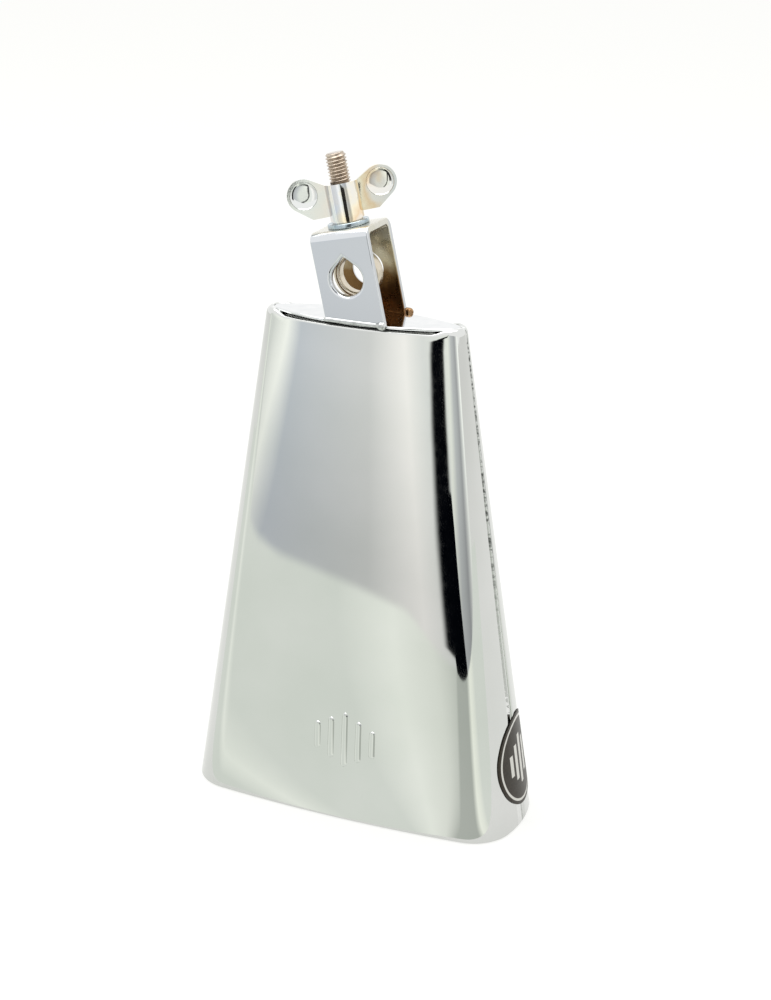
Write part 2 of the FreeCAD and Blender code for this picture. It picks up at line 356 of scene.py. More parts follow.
def cardMaterial():
    # the tones are those that chrome shows, and the brightness makes up for what chrome swallows
    material, tree, axes = roomMaterial("frontCard")
    x, z = axes["X"], axes["Z"]
    soft = room["softness"]
    shade = addNode(tree, "MapRange", {1: room["shadeFrom"], 2: room["shadeTo"], 3: room["footShade"],
                                       4: 1.0}, {0: z})
    wall = addNode(tree, "VectorMath", {"operation": "SCALE"},
                   {0: tonesAlong(tree, x, room["wall"]), "Scale": shade})
    # the table's edge is level in the middle, curves up to the left and drops away by the stand
    riseFrom = room["edgeRiseFrom"]
    left = addNode(tree, "MapRange", {1: riseFrom, 2: riseFrom - 1.0}, {0: x})
    climb = addNode(tree, "Math", {"operation": "POWER", 1: 2.0}, {0: left})
    fallFrom, fallTo = room["edgeFall"]
    level = addNode(tree, "MapRange", {1: fallFrom, 2: fallTo, 3: room["edgeHeight"], 4: 0.0,
                                       "interpolation_type": "SMOOTHSTEP"}, {0: x})
    edge = addNode(tree, "Math", {"operation": "MULTIPLY_ADD", 1: room["edgeCurve"]},
                   {0: climb, 2: level})
    overEdge = addNode(tree, "Math", {"operation": "SUBTRACT"}, {0: z, 1: edge})
    shown = addNode(tree, "MapRange", {1: -soft, 2: soft, "interpolation_type": "SMOOTHSTEP"},
                    {0: overEdge})
    # below the table's edge the card shows the painted reflection of the room in the table's gloss
    aside = addNode(tree, "Math", {"operation": "SUBTRACT", 1: room["streakFrom"][0]}, {0: x})
    slant = addNode(tree, "Math", {"operation": "DIVIDE", 1: room["distance"]}, {0: aside})
    beyond = addNode(tree, "Mix", {"data_type": "RGBA"},
                     {0: shown, 6: tonesAlong(tree, slant, room["tableReflectionStreaks"]), 7: wall}).outputs[2]
    # the stand's post bows to the right as it rises, and its foot flares the same way
    square = addNode(tree, "Math", {"operation": "POWER", 1: 2.0}, {0: z})
    bow = addNode(tree, "Math", {"operation": "MULTIPLY", 1: room["standCurve"]}, {0: square})
    straight = addNode(tree, "Math", {"operation": "SUBTRACT"}, {0: x, 1: bow})
    flare = room["standRight"] + room["footTop"] * room["footFlare"]
    rightEdge = addNode(tree, "MapRange", {1: 0.0, 2: room["footTop"], 3: flare, 4: room["standRight"]},
                        {0: z})
    leftEdge = addNode(tree, "MapRange", {1: 0.0, 2: room["tuckTop"], 3: room["standLeft"] + room["tuck"],
                                          4: room["standLeft"]}, {0: z})
    fromLeft = addNode(tree, "Math", {"operation": "SUBTRACT"}, {0: straight, 1: leftEdge})
    toRight = addNode(tree, "Math", {"operation": "SUBTRACT"}, {0: rightEdge, 1: straight})
    leftSide = addNode(tree, "MapRange", {1: -soft, 2: soft, "interpolation_type": "SMOOTHSTEP"},
                       {0: fromLeft})
    rightSide = addNode(tree, "MapRange", {1: -soft, 2: soft / 2, "interpolation_type": "SMOOTHSTEP"},
                        {0: toRight})
    stand = addNode(tree, "Math", {"operation": "MULTIPLY"}, {0: leftSide, 1: rightSide})
    colour = addNode(tree, "Mix", {"data_type": "RGBA", 7: linear(room["standTone"])},
                     {0: stand, 6: beyond}).outputs[2]
    shine = addNode(tree, "Emission", {"Strength": room["brightness"]}, {"Color": colour})
    addNode(tree, "OutputMaterial", links={"Surface": shine})
    return material


def paintedTableReflectionMaterial():
    # painted reflection of the room in the glossy table, as streaks that run out from the bell's right
    # corner, dark where the black stand is mirrored
    material, tree, axes = roomMaterial("paintedTableReflection")
    cornerX, cornerY = room["streakFrom"]
    aside = addNode(tree, "Math", {"operation": "SUBTRACT", 1: cornerX}, {0: axes["X"]})
    ahead = addNode(tree, "Math", {"operation": "SUBTRACT", 0: cornerY}, {1: axes["Y"]})
    slant = addNode(tree, "Math", {"operation": "DIVIDE"}, {0: aside, 1: ahead})
    shine = addNode(tree, "Emission", {"Strength": room["brightness"]},
                    {"Color": tonesAlong(tree, slant, room["tableReflectionStreaks"])})
    addNode(tree, "OutputMaterial", links={"Surface": shine})
    return material


def chromeFinish():
    # bright chromium over nickel on polished sheet steel: a cool, hard mirror with faint clouding,
    # slightly soft reflections and the gentle waviness that pressing and polishing leave
    material, tree, surface, place = newMaterial("brightChromeOnPressedSteel", Metallic=1.0, Roughness=0.03)
    cloud = addNode(tree, "TexNoise", {"Scale": 25.0, "Detail": 3.0}, {"Vector": place})  # 40 mm clouds
    tint = addNode(tree, "ValToRGB", {"stops": [(0.35, "#CACCC9"), (0.65, "#CFD0CE")]},
                   {0: cloud})
    haze = addNode(tree, "TexNoise", {"Scale": 330.0, "Detail": 4.0}, {"Vector": place})  # 3 mm haze
    rough = addNode(tree, "MapRange", {1: 0.3, 2: 0.75, 3: 0.025, 4: 0.05}, {0: haze})
    waves = addNode(tree, "TexNoise", {"Scale": 45.0, "Detail": 1.0}, {"Vector": place})  # 22 mm waves
    bump = addNode(tree, "Bump", {"Strength": 1.0, "Distance": 0.000012}, {"Height": waves})
    join(tree, surface, {"Base Color": tint, "Roughness": rough, "Normal": bump})
    return material


def seamFinish():
    # chrome over a ground weld bead: the same metal, pitted and duller except low down, where it is flush
    material, tree, surface, place = newMaterial("chromeOverGroundWeld", Metallic=1.0, Roughness=0.12)
    pits = addNode(tree, "TexNoise", {"Scale": 900.0, "Detail": 3.0}, {"Vector": place})  # 1 mm pits
    pitted = addNode(tree, "ValToRGB", {"stops": [(0.38, "#5E605E"), (0.56, "#C9CBC8")]}, {0: pits})
    height = addNode(tree, "SeparateXYZ", links={0: place}).outputs["Z"]
    low, full = seam["pitsFrom"]
    high = addNode(tree, "MapRange", {1: low, 2: full}, {0: height})
    tint = addNode(tree, "Mix", {"data_type": "RGBA", 6: linear("#CCCECB")}, {0: high, 7: pitted})
    depth = addNode(tree, "MapRange", {1: low, 2: full, 3: 0.00001, 4: 0.00012}, {0: height})
    bump = addNode(tree, "Bump", {"Strength": 0.5}, {"Height": pits, "Distance": depth})
    join(tree, surface, {"Base Color": tint.outputs[2], "Normal": bump})
    return material


def brazeFinish():
    # silver braze under thin plating: a dull, darker grey line
    material, tree, surface, place = newMaterial("platedBraze", Metallic=1.0, Roughness=0.35)
    grain = addNode(tree, "TexNoise", {"Scale": 700.0, "Detail": 3.0}, {"Vector": place})  # 1.4 mm runs
    tint = addNode(tree, "ValToRGB", {"stops": [(0.35, "#6B6C6A"), (0.65, "#8E8F8C")]}, {0: grain})
    join(tree, surface, {"Base Color": tint})
    return material


def plateFinish():
    # bright chrome on a flat blanked plate: a little softer than the bell's polish
    material, tree, surface, place = newMaterial("brightChromeOnPlate", Metallic=1.0, Roughness=0.08)
    haze = addNode(tree, "TexNoise", {"Scale": 250.0, "Detail": 3.0}, {"Vector": place})  # 4 mm haze
    tint = addNode(tree, "ValToRGB", {"stops": [(0.3, "#D0D2D3"), (0.7, "#DADBDB")]}, {0: haze})
    rough = addNode(tree, "MapRange", {1: 0.3, 2: 0.7, 3: 0.05, 4: 0.10}, {0: haze})
    join(tree, surface, {"Base Color": tint, "Roughness": rough})
    return material


def bracketFinish():
    # bright chrome outside; between the legs, painted shade and a painted brown reflection, straw to brown,
    # deepening towards the foot
    material, tree, surface, place = newMaterial("chromeWithPaintedRecessShade", Metallic=1.0, Roughness=0.05)
    axes = addNode(tree, "SeparateXYZ", links={0: place})
    depth = addNode(tree, "Math", {"operation": "ABSOLUTE"}, {0: axes.outputs["Y"]})
    outer, inner = bracket["recessShadeDepth"]
    inside = addNode(tree, "MapRange", {1: outer, 2: inner, "interpolation_type": "SMOOTHSTEP"},
                     {0: depth})
    low, high = bracket["recessShadeHeight"]
    fall = addNode(tree, "MapRange", {1: low, 2: high}, {0: axes.outputs["Z"]})
    patches = addNode(tree, "TexNoise", {"Scale": 160.0, "Detail": 2.0}, {"Vector": place})  # 6 mm patches
    shift = addNode(tree, "MapRange", {1: 0.3, 2: 0.7, 3: -0.08, 4: 0.08}, {0: patches})
    height = addNode(tree, "Math", {"operation": "ADD"}, {0: fall, 1: shift})
    # painted shade and painted brown reflection between the legs, darker towards the foot
    recessShadeTones = addNode(tree, "ValToRGB", {"stops": [(0.0, "#9A6B3F"), (0.12, "#6E5030"), (0.45, "#7A5F3C"),
                                                (0.62, "#B5AA8C"), (0.85, "#C4C0AE"), (1.0, "#CFCDC4")]},
                   {0: height})
    tint = addNode(tree, "Mix", {"data_type": "RGBA", 6: linear("#CBCED1")},
                   {0: inside, 7: recessShadeTones}).outputs[2]
    haze = addNode(tree, "TexNoise", {"Scale": 400.0, "Detail": 3.0}, {"Vector": place})  # 2.5 mm haze
    polish = addNode(tree, "MapRange", {1: 0.3, 2: 0.7, 3: 0.04, 4: 0.08}, {0: haze})
    dull = addNode(tree, "Math", {"operation": "MULTIPLY", 1: 0.22}, {0: inside})
    rough = addNode(tree, "Math", {"operation": "ADD"}, {0: polish, 1: dull})
    join(tree, surface, {"Base Color": tint, "Roughness": rough})
    return material


def beadFinish(name, light, dark):
    # plated weld bead: bright crests, dull hollows
    material, tree, surface, place = newMaterial(name, Metallic=1.0, Roughness=0.12)
    scale = addNode(tree, "TexNoise", {"Scale": 600.0, "Detail": 3.0}, {"Vector": place})  # 1.7 mm scale
    tint = addNode(tree, "ValToRGB", {"stops": [(0.35, dark), (0.6, light)]}, {0: scale})
    bump = addNode(tree, "Bump", {"Strength": 0.2, "Distance": 0.00004}, {"Height": scale})
    join(tree, surface, {"Base Color": tint, "Normal": bump})
    return material


def boltFinish():
    # steel bolt under a yellow passivate: pinkish bronze, satin, dirtier in the thread's roots
    material, tree, surface, place = newMaterial("yellowPassivatedSteel", Metallic=1.0, Roughness=0.28)
    grime = addNode(tree, "TexNoise", {"Scale": 420.0, "Detail": 4.0}, {"Vector": place})  # 2.4 mm blotches
    bronze = addNode(tree, "ValToRGB", {"stops": [(0.3, "#85796D"), (0.5, "#B0A394"), (0.75, "#CBC0B2")]},
                     {0: grime})
    height = addNode(tree, "SeparateXYZ", links={0: place}).outputs["Z"]
    low, high = bolt["bronzeFrom"]
    upper = addNode(tree, "MapRange", {1: low, 2: high}, {0: height})  # the eye is bare nickel
    tint = addNode(tree, "Mix", {"data_type": "RGBA", 6: linear("#C8BFAE")},
                   {0: upper, 7: bronze})
    rough = addNode(tree, "MapRange", {1: 0.3, 2: 0.7, 3: 0.14, 4: 0.3}, {0: grime})
    join(tree, surface, {"Base Color": tint.outputs[2], "Roughness": rough})
    return material


def washerFinish():
    # blue-white zinc on a stamped washer: bluish grey with a fine grain and dull spots
    material, tree, surface, place = newMaterial("blueZincOnSteel", Metallic=1.0, Roughness=0.25)
    spots = addNode(tree, "TexNoise", {"Scale": 350.0, "Detail": 4.0}, {"Vector": place})  # 3 mm spots
    tint = addNode(tree, "ValToRGB", {"stops": [(0.32, "#7F9099"), (0.5, "#A9B6BD"), (0.75, "#C2CCD0")]},
                   {0: spots})
    grain = addNode(tree, "TexNoise", {"Scale": 4000.0}, {"Vector": place})  # 0.25 mm grain
    bump = addNode(tree, "Bump", {"Strength": 0.25, "Distance": 0.00003}, {"Height": grain})
    join(tree, surface, {"Base Color": tint, "Normal": bump})
    return material


def nutFinish():
    # nickel on a cast wing nut: soft mirror, with painted reflections across it: pink, blue and cream tones
    # and a straw band
    material, tree, surface, place = newMaterial("nickelWithPaintedReflections", Metallic=1.0, Roughness=0.07)
    centre = addNode(tree, "Mapping", {"vector_type": "POINT", "Location": nut["reflectionTonesCentre"]},
                     {"Vector": place})
    axes = addNode(tree, "SeparateXYZ", links={0: centre})
    patches = addNode(tree, "TexNoise", {"Scale": 130.0, "Detail": 2.0}, {"Vector": place})  # 8 mm patches
    shift = addNode(tree, "MapRange", {1: 0.3, 2: 0.7, 3: -0.003, 4: 0.003}, {0: patches})
    across = addNode(tree, "Math", {"operation": "ADD"}, {0: axes.outputs["X"], 1: shift})
    along = addNode(tree, "MapRange", {1: -nut["reflectionTonesReach"], 2: nut["reflectionTonesReach"]}, {0: across})
    # painted reflection tones from the nut's left to its right
    tint = addNode(tree, "ValToRGB", {"stops": [
        (0.15, "#D6D8D6"), (0.32, "#DFD9D2"), (0.45, "#D4D8DC"), (0.57, "#E6DDC4"), (0.65, "#DCC6A6"),
        (0.73, "#DDDAD2"), (0.88, "#D6D8D6")]}, {0: along})
    grain = addNode(tree, "TexNoise", {"Scale": 1500.0, "Detail": 2.0}, {"Vector": place})  # 0.7 mm grain
    bump = addNode(tree, "Bump", {"Strength": 0.2, "Distance": 0.00002}, {"Height": grain})
    join(tree, surface, {"Base Color": tint, "Normal": bump})
    return material


badge = {"radius": 19.0, "centreY": 4.5, "centreZ": 26.5, "proud": 0.5, "under": 0.05,
         "ringOut": 17.6, "ringIn": 16.6, "barWidth": 2.6, "barPitch": 4.6, "halfBars": (10.5, 4.5),
         "punchX": 72, "punchDepth": 60.0}


def badgeFinish():
    # printed polyester foil: near-black brown ink with a plain silver ring and five silver bars
    material, tree, surface, place = newMaterial("printedPolyesterFoil", Roughness=0.3,
                                                 Specular_IOR_Level=0.12)
    axes = addNode(tree, "SeparateXYZ", links={0: place})
    aside = addNode(tree, "Math", {"operation": "SUBTRACT", 1: badge["centreY"] * mm},
                    {0: axes.outputs["Y"]})
    above = addNode(tree, "Math", {"operation": "SUBTRACT", 1: badge["centreZ"] * mm},
                    {0: axes.outputs["Z"]})
    flat = addNode(tree, "CombineXYZ", links={0: aside, 1: above})
    radius = addNode(tree, "VectorMath", {"operation": "LENGTH"}, {0: flat}).outputs["Value"]
    middle = (badge["ringOut"] + badge["ringIn"]) / 2 * mm
    offRing = addNode(tree, "Math", {"operation": "SUBTRACT", 1: middle}, {0: radius})
    ringGap = addNode(tree, "Math", {"operation": "ABSOLUTE"}, {0: offRing})
    halfRing = (badge["ringOut"] - badge["ringIn"]) / 2 * mm
    ring = addNode(tree, "MapRange", {1: halfRing + 0.00005, 2: halfRing - 0.00005}, {0: ringGap})
    # bars repeat across the foil, and each is as tall as a rounded hill allows
    pitch = badge["barPitch"] * mm
    cell = addNode(tree, "Math", {"operation": "DIVIDE", 1: pitch}, {0: aside})
    whole = addNode(tree, "Math", {"operation": "ROUND"}, {0: cell})
    part = addNode(tree, "Math", {"operation": "SUBTRACT"}, {0: cell, 1: whole})
    offBar = addNode(tree, "Math", {"operation": "ABSOLUTE"}, {0: part})
    half = badge["barWidth"] / badge["barPitch"] / 2
    narrow = addNode(tree, "MapRange", {1: half + 0.012, 2: half - 0.012}, {0: offBar})
    order = addNode(tree, "Math", {"operation": "ABSOLUTE"}, {0: whole})
    middleBar, lastBar = badge["halfBars"]
    tall = addNode(tree, "MapRange", {1: 0.0, 2: 2.0, 3: middleBar * mm, 4: lastBar * mm}, {0: order})
    up = addNode(tree, "Math", {"operation": "ABSOLUTE"}, {0: above})
    spare = addNode(tree, "Math", {"operation": "SUBTRACT"}, {0: tall, 1: up})
    short = addNode(tree, "MapRange", {1: -0.00005, 2: 0.00005}, {0: spare})
    few = addNode(tree, "MapRange", {1: 2.6, 2: 2.4}, {0: order})
    bar = addNode(tree, "Math", {"operation": "MULTIPLY"}, {0: narrow, 1: short})
    bars = addNode(tree, "Math", {"operation": "MULTIPLY"}, {0: bar, 1: few})
    ink = addNode(tree, "Math", {"operation": "MAXIMUM"}, {0: ring, 1: bars})
    dust = addNode(tree, "TexNoise", {"Scale": 1200.0, "Detail": 3.0}, {"Vector": place})  # 0.8 mm grain
    dark = addNode(tree, "ValToRGB", {"stops": [(0.3, "#25211B"), (0.7, "#342F27")]}, {0: dust})
    tint = addNode(tree, "Mix", {"data_type": "RGBA", 7: linear("#C9C8C2")},
                   {0: ink, 6: dark}).outputs[2]
    join(tree, surface, {"Base Color": tint, "Metallic": ink})
    return material


bell = {"height": 203.0, "mouth": (142.4, 57.8, 18.0, 2.5, 1.1), "top": (82.8, 24.2, 7.0, 4.6, 1.2),
        "sheet": 1.5, "seamGap": 1.2, "rimRound": 0.45,
        "shoulderRise": 1.9, "shoulderFrom": 30.0, "shoulderTo": 37.0,
        "edgeIn": 0.45, "edgeDown": 2.6, "shoulderIn": 1.3, "crownRise": 0.05, "slopes": (0.147, 0.083),
        "lipGap": 0.05, "lipDeep": 0.15, "ledge": 1.15, "steps": (3, 16, 36), "layers": 40,
        "rimLine": 1.1, "closeFrom": 7, "closeTo": 1, "closeBy": 0.95}
seam = {"layers": 320, "ripple": 2.6, "halfSize": (1.05, 0.78), "inset": 0.78, "foot": 0.25, "short": 0.6,
        "rippleDepth": 0.1, "taper": 0.35, "taperLength": 8, "flushBy": 0.24, "flushTo": (45, 75),
        "pitsFrom": (0.08, 0.12)}
plate = {"outline": (77.0, 22.6, 3.0, 7.4, 0.3), "bottom": 203.3, "thickness": 1.6, "edgeRound": 0.5,
         "brazeSetback": 0.12, "brazeWidth": 0.9, "brazeSunk": (0.1, 0.04), "steps": (2, 8, 40),
         "lidInset": 0.4}
plateTop = plate["bottom"] + plate["thickness"]


def ovalArcs(size, inset=0.0):
    width, depth, corner, frontRise, sideRise = size
    a, b = width / 2, depth / 2
    frontRadius = ((a - corner) ** 2 + frontRise ** 2) / (2 * frontRise)
    sideRadius = ((b - corner) ** 2 + sideRise ** 2) / (2 * sideRise)
    front = Vector((0, frontRadius - b, 0))
    side = Vector((a - sideRadius, 0, 0))
    span = front - side
    length = span.length
    along = ((sideRadius - corner) ** 2 - (frontRadius - corner) ** 2 + length ** 2) / (2 * length)
    across = math.sqrt((sideRadius - corner) ** 2 - along ** 2)
    unit = span / length
    turned = Vector((unit.y, -unit.x, 0)) * across
    middle = side + unit * along + turned
    if middle.x < 0:
        middle -= 2 * turned
    return (front, frontRadius - inset), (side, sideRadius - inset), (middle, corner - inset)


def outlineRow(bm, size, inset, z, gap, steps=None):
    # open row of points round the front half, from the right seam to the left one
    (front, frontR), (side, sideR), (corner, cornerR) = ovalArcs(size, inset)
    sideSteps, cornerSteps, frontSteps = steps or bell["steps"]
    sideAngle = math.atan2(corner.y - side.y, corner.x - side.x)
    frontAngle = math.atan2(corner.y - front.y, corner.x - front.x)
    start = -math.asin(gap / 2 / sideR)
    row = [bm.verts.new((side.x + sideR * math.cos(start), sideR * math.sin(start), z))]
    turns = [(side.x, side.y, sideAngle - start, sideSteps),
             (corner.x, corner.y, frontAngle - sideAngle, cornerSteps),
             (front.x, front.y, -math.pi - 2 * frontAngle, frontSteps),
             (-corner.x, corner.y, frontAngle - sideAngle, cornerSteps),
             (-side.x, side.y, sideAngle - start, sideSteps)]
    for x, y, angle, count in turns:
        bmesh.ops.spin(bm, geom=[row[-1]], cent=(x, y, z), axis=(0, 0, 1), angle=angle, steps=count)
        for _ in range(count):
            near = [e.other_vert(row[-1]) for e in row[-1].link_edges]
            row.append(next(v for v in near if v not in row))
    return row


def shoulder(x):
    return smoothStep(bell["shoulderFrom"], bell["shoulderTo"], abs(x))


def shellMesh():
    bm = bmesh.new()
    height, gap = bell["height"], bell["seamGap"]
    top, mouth = bell["top"], bell["mouth"]
    outerMouth = outlineRow(bm, mouth, 0, 0, gap)
    crown = []
    for k in range(7):  # quarter round over the top edge, wide at the shoulders
        outer = outlineRow(bm, top, 0, height, gap)
        guide = outlineRow(bm, top, 1.0, height, gap)
        turn = k * math.pi / 12
        for v, inner in zip(outer, guide):
            lift = shoulder(v.co.x)
            rise = bell["crownRise"] + bell["shoulderRise"] * lift - bell["edgeDown"] * (1 - math.sin(turn))
            inward = bell["edgeIn"] + (bell["shoulderIn"] - bell["edgeIn"]) * lift
            v.co = v.co.lerp(inner.co, (1 - math.cos(turn)) * inward)
            v.co.x *= 1 - bell["slopes"][0] * rise / (top[0] / 2)
            v.co.y *= 1 - bell["slopes"][1] * rise / (top[1] / 2)
            v.co.z += rise
        bmesh.ops.delete(bm, geom=guide, context="VERTS")
        crown.append(outer)
    lip = outlineRow(bm, plate["outline"], -bell["lipGap"], height, gap)
    for v in lip:
        v.co.z += bell["crownRise"] + bell["shoulderRise"] * shoulder(v.co.x)
    lipFoot = outlineRow(bm, plate["outline"], -bell["lipGap"], height - bell["lipDeep"], gap)
    ledge = outlineRow(bm, plate["outline"], bell["ledge"], height - bell["lipDeep"], gap)
    innerMouth = outlineRow(bm, mouth, bell["sheet"], 0, gap)
    rows = [outerMouth] + crown + [lip, lipFoot, ledge, innerMouth]
    rim = rowEdges(bm, outerMouth) + rowEdges(bm, innerMouth)
    bridgeRows(bm, rows)
    subdivideTall(bm, height / 2)
    bevel(bm, rim, bell["rimRound"], 4, clamp_overlap=True, loop_slide=True)
    cutLevel(bm, bell["rimLine"])
    fillHoles(bm)
    for v in bm.verts:  # the halves close on each other above the bead's end
        if v.co.y > -gap / 2 - 0.01:
            closed = smoothStep(height - bell["closeFrom"], height - bell["closeTo"], v.co.z)
            v.co.y *= 1 - bell["closeBy"] * closed
    bmesh.ops.dissolve_degenerate(bm, edges=bm.edges, dist=weld)
    faceOut(bm)
    return bm


def makeShells(chrome):
    for name, side, node in (("front_half", -1, "front_shell"), ("rear_half", 1, "rear_shell")):
        bm = shellMesh()
        if side > 0:
            scaleMesh(bm, (1, -1, 1))
            faceOut(bm)
        makePiece(bm, name, "bell", chrome, [node])
    print("shells made")


def makeSeams(material):
    height = bell["height"]
    start = bell["mouth"][0] / 2 - seam["inset"]
    slope = (bell["mouth"][0] - bell["top"][0]) / 2 / height
    step = (height - seam["short"]) / seam["layers"]
    for name, side, node in (("left_seam_bead", -1, "left_seam_weld"),
                             ("right_seam_bead", 1, "right_seam_weld")):
        bm = bmesh.new()
        bmesh.ops.create_circle(bm, segments=14, radius=1.0)
        scaleMesh(bm, (*seam["halfSize"], 1))
        moveMesh(bm, (start, 0, seam["foot"]))
        bmesh.ops.spin(bm, geom=list(bm.verts) + list(bm.edges), cent=(0, 0, 0), axis=(0, 0, 1), angle=0,
                       dvec=(-slope * step, 0, step), steps=seam["layers"])
        fillHoles(bm)
        for v in bm.verts:
            centre = start - slope * v.co.z
            wave = abs(math.sin(math.pi * v.co.z / seam["ripple"]))
            swell = 1 - seam["rippleDepth"] * (1 - wave)
            swell *= 1 - seam["taper"] * smoothStep(height - seam["taperLength"], height, v.co.z)
            flush = 1 - smoothStep(*seam["flushTo"], v.co.z)  # ground flush behind the badge
            swell *= 1 - seam["flushBy"] * flush
            v.co.x = centre + (v.co.x - centre) * swell
            v.co.y *= swell
            if side < 0:
                v.co.x = -v.co.x
        faceOut(bm)
        makePiece(bm, name, "bell", material, [node])
    print("seams made")


def closedOutline(bm, size, inset, z, steps=None):
    # closed row of points round the whole oval
    row = outlineRow(bm, size, inset, z, 0, steps)
    made = bmesh.ops.mirror(bm, geom=row + rowEdges(bm, row), matrix=Matrix.Identity(4),
                            merge_dist=0.01, axis="Y")
    copies = [v for v in vertsOf(made) if v.is_valid and v not in row]
    copies.sort(key=lambda v: v.co.x)
    return row + copies


def makePlate(material, braze):
    bm = bmesh.new()
    row = closedOutline(bm, plate["outline"], 0, plate["bottom"], plate["steps"])
    base = bmesh.ops.contextual_create(bm, geom=rowEdges(bm, row, True))["faces"]
    extrudeBy(bm, base, (0, 0, plate["thickness"]))
    bevelEdges(bm, plate["edgeRound"], 40, 4, lambda e: all(v.co.z > plateTop - 0.01 for v in e.verts))
    lid = [f for f in bm.faces if f.normal.z > 0.99 and f.calc_area() > 100]
    bmesh.ops.inset_region(bm, faces=lid, thickness=plate["lidInset"], use_even_offset=True)
    makePiece(bm, "end_plate", "bell", material, ["top_plate"])

    bm = bmesh.new()
    outside, inside = plate["brazeSetback"], plate["brazeSetback"] + plate["brazeWidth"]
    low, high = bell["height"] - plate["brazeSunk"][0], plate["bottom"] + plate["brazeSunk"][1]
    rows = [closedOutline(bm, plate["outline"], inset, z, plate["steps"])
            for inset, z in ((outside, low), (outside, high), (inside, high), (inside, low))]
    bridgeRows(bm, rows, closed=True)
    faceOut(bm)
    makePiece(bm, "braze_line", "bell", braze, ["plate_braze"])
    print("plate made")


def makeBadge(material):
    bm = bmesh.new()
    rows = [closedOutline(bm, size, -inset, z) for size, inset, z in (
        (bell["mouth"], badge["proud"], 0), (bell["top"], badge["proud"], bell["height"]),
        (bell["top"], badge["under"], bell["height"]), (bell["mouth"], badge["under"], 0))]
    bridgeRows(bm, rows, closed=True)
    subdivideTall(bm, bell["height"] / 2)
    faceOut(bm)
    punch = cylinder(badge["radius"], badge["punchDepth"], 128)
    turnMesh(punch, 90, "Y")
    moveMesh(punch, (badge["punchX"], badge["centreY"], badge["centreZ"]))
    bm = combine(bm, [punch], "INTERSECT")
    makePiece(bm, "badge_disc", "bell", material, ["side_badge"])
    print("badge made")


emblem = {"centreX": 3.0, "centreZ": 35.0, "pitch": 6.0, "barWidth": 3.0, "proud": 0.5, "sunk": 0.06,
          "back": 0.5, "round": 0.7, "flatTo": 0.35, "heights": (12.0, 18.0, 24.0, 18.0, 12.0)}


def makeEmblem(material):
    # a plain pressed motif, five upright bars, laid on the front wall
    shell = shellMesh()
    skin = BVHTree.FromBMesh(shell)
    shell.free()
    bm = bmesh.new()
    radius, soft = emblem["barWidth"] / 2, emblem["round"]
    for k, tall in enumerate(emblem["heights"]):
        centre = emblem["centreX"] + (k - (len(emblem["heights"]) - 1) / 2) * emblem["pitch"]
        made = bmesh.ops.create_grid(bm, x_segments=8, y_segments=24, size=0.5)["verts"]
        for v in made:  # a grid drawn in to a bar with round ends and a domed face
            up = v.co.y * tall
            end = max(0.0, abs(up) - (tall / 2 - radius))
            half = math.sqrt(max(0.0, radius ** 2 - end ** 2))
            side = 2 * v.co.x
            rim = max(abs(side), (abs(up) - (tall / 2 - soft)) / soft)
            lift = emblem["proud"] * (1 - smoothStep(emblem["flatTo"], 1.0, rim)) - emblem["sunk"]
            x, z = centre + side * half, emblem["centreZ"] + up
            spot = skin.ray_cast(Vector((x, -60, z)), Vector((0, 1, 0)))[0]
            v.co = Vector((x, spot.y - lift, z))
    mergeNear(bm, 0.01)
    extrudeBy(bm, list(bm.faces), (0, emblem["back"], 0))
    makePiece(bm, "front_emblem", "bell", material)
    print("emblem made")


bracket = {"lean": 12.3, "shift": 0.5, "width": 24.0, "depth": 22.6, "height": 35.3, "strap": 2.5,
           "bend": 4.0, "holeRadius": 6.4, "holeHeight": 16.7, "holePoint": 8.7, "boltHole": 4.3,
           "punchRound": 1.5, "punchReach": 8.9, "edgeRound": 0.4, "beadRadius": 1.75,
           "beadRipple": 2.0, "beadRise": 0.2, "dropFrom": 2.5, "dropTo": 0.5, "sunk": 0.1,
           "recessShadeDepth": (0.0095, 0.0089), "recessShadeHeight": (0.206, 0.236)}
lean = Matrix.Translation((bracket["shift"], 0, plateTop))
lean = lean @ Matrix.Rotation(math.radians(-bracket["lean"]), 4, "Y")


def bentBlock(width, depth, foot, height, turnRadius):
    bm = bmesh.new()
    bmesh.ops.create_cube(bm, size=1.0)
    scaleMesh(bm, (width, depth, height - foot))
    moveMesh(bm, (0, 0, (height + foot) / 2))
    ridges = [e for e in bm.edges if all(v.co.z > height - 0.01 for v in e.verts)
              and abs(e.verts[0].co.y - e.verts[1].co.y) < 0.01]
    bevel(bm, ridges, turnRadius, 10, clamp_overlap=True)
    return bm


def teardropCutter():
    bm = bmesh.new()
    radius, centre = bracket["holeRadius"], Vector((0, -40, bracket["holeHeight"]))
    half = math.pi / 2 - math.acos(radius / bracket["holePoint"])  # where the straight sides leave the circle
    first = bm.verts.new(centre + Vector((radius * math.cos(half), 0, radius * math.sin(half))))
    bmesh.ops.spin(bm, geom=[first], cent=centre, axis=(0, 1, 0), angle=math.pi + 2 * half, steps=48)
    bm.verts.ensure_lookup_table()
    tip = bm.verts.new(centre + Vector((0, 0, bracket["holePoint"])))
    row = list(bm.verts)[:-1]
    bm.edges.new((row[-1], tip))
    bm.edges.new((tip, row[0]))
    face = bmesh.ops.contextual_create(bm, geom=list(bm.edges))["faces"]
    extrudeBy(bm, face, (0, 80, 0))
    return bm


